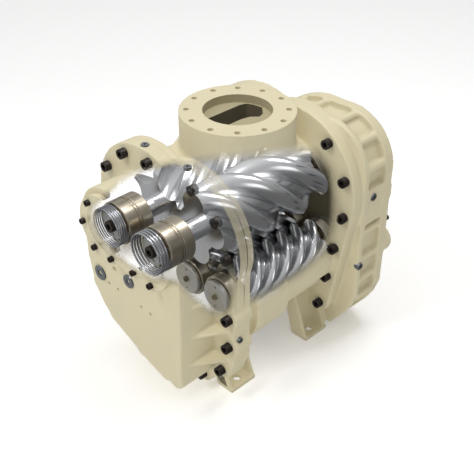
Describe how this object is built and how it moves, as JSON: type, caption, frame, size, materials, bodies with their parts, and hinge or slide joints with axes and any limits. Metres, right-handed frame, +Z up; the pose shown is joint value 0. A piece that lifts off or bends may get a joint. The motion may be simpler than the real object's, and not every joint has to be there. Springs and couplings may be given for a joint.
{
  "type": "screw compressor airend",
  "caption": "Two-stage oil-flooded screw compressor: stacked twisted rotor pairs in a split cast casing with step-up gears, top inlet flange and bolt-down feet.",
  "frame": {"origin": "centre of the four foot bolt holes on the base plane", "axes": "+Z up to the inlet flange, -Y the bearing cover end, +Y the gear and drive shaft end, +X the side away from the discharge branch"},
  "size_m": [0.66, 0.92, 0.785],
  "materials": {
    "cast_paint": "satin beige paint on iron castings",
    "rotor_steel": "ground steel",
    "bearing_steel": "ground, warm tint",
    "spring_steel": "oiled wire",
    "plug_steel": "zinc plated",
    "black_oxide": "black oxide",
    "seal_rubber": "moulded"
  },
  "bodies": {
    "housing": {"rotor_housing": "cast_paint", "housing_front_flange": "cast_paint", "housing_rear_flange": "cast_paint", "front_feet": "cast_paint", "rear_feet": "cast_paint", "discharge_branch": "cast_paint", "branch_cap_screws": "black_oxide", "discharge_housing": "cast_paint", "bearing_cover": "cast_paint", "gear_case": "cast_paint", "rear_cover": "cast_paint", "front_cap_screws": "black_oxide", "rear_cap_screws": "black_oxide", "cover_cap_screws": "black_oxide", "rear_cover_screws": "black_oxide", "dowel_pins": "plug_steel", "casing_plugs": "plug_steel", "oil_plugs": "plug_steel", "shaft_seal": "seal_rubber", "stage1_front_outer_rings": "bearing_steel", "stage1_rear_outer_rings": "bearing_steel", "stage2_front_outer_rings": "bearing_steel", "stage2_rear_outer_rings": "bearing_steel", "drive_outer_rings": "bearing_steel", "left_preload_spring": "spring_steel", "right_preload_spring": "spring_steel"},
    "drive_shaft": {"drive_shaft": "rotor_steel", "drive_gear": "rotor_steel", "drive_inner_rollers": "bearing_steel", "drive_outer_rollers": "bearing_steel"},
    "stage1_male": {"stage1_male_rotor": "rotor_steel", "stage1_male_front_rollers": "bearing_steel", "stage1_male_rear_rollers": "bearing_steel", "stage1_male_end_plate": "plug_steel", "stage1_pinion": "rotor_steel"},
    "stage1_female": {"stage1_female_rotor": "rotor_steel", "stage1_female_front_rollers": "bearing_steel", "stage1_female_rear_rollers": "bearing_steel", "stage1_female_end_plate": "plug_steel"},
    "stage2_male": {"stage2_male_rotor": "rotor_steel", "stage2_male_front_rollers": "bearing_steel", "stage2_male_rear_rollers": "bearing_steel", "stage2_male_end_plate": "plug_steel", "stage2_pinion": "rotor_steel"},
    "stage2_female": {"stage2_female_rotor": "rotor_steel", "stage2_female_front_rollers": "bearing_steel", "stage2_female_rear_rollers": "bearing_steel", "stage2_female_end_plate": "plug_steel"}
  },
  "joints": [
    {"name": "drive_spin", "type": "hinge", "parent": "housing", "child": "drive_shaft", "pos_m": [-0.07773, 0.3, 0.36141], "axis": [0, 1, 0], "continuous": true},
    {"name": "stage1_male_spin", "type": "hinge", "parent": "housing", "child": "stage1_male", "pos_m": [0.088, 0, 0.535], "axis": [0, 1, 0], "continuous": true},
    {"name": "stage1_female_spin", "type": "hinge", "parent": "housing", "child": "stage1_female", "pos_m": [-0.088, 0, 0.535], "axis": [0, 1, 0], "continuous": true},
    {"name": "stage2_male_spin", "type": "hinge", "parent": "housing", "child": "stage2_male", "pos_m": [0.142, 0, 0.313], "axis": [0, 1, 0], "continuous": true},
    {"name": "stage2_female_spin", "type": "hinge", "parent": "housing", "child": "stage2_female", "pos_m": [0.018, 0, 0.313], "axis": [0, 1, 0], "continuous": true}
  ],
  "couplings": [
    {"joint": "stage1_male_spin", "follows": "drive_spin", "ratio": -3},
    {"joint": "stage1_female_spin", "follows": "drive_spin", "ratio": 2},
    {"joint": "stage2_male_spin", "follows": "drive_spin", "ratio": -4},
    {"joint": "stage2_female_spin", "follows": "drive_spin", "ratio": 2.6667}
  ]
}
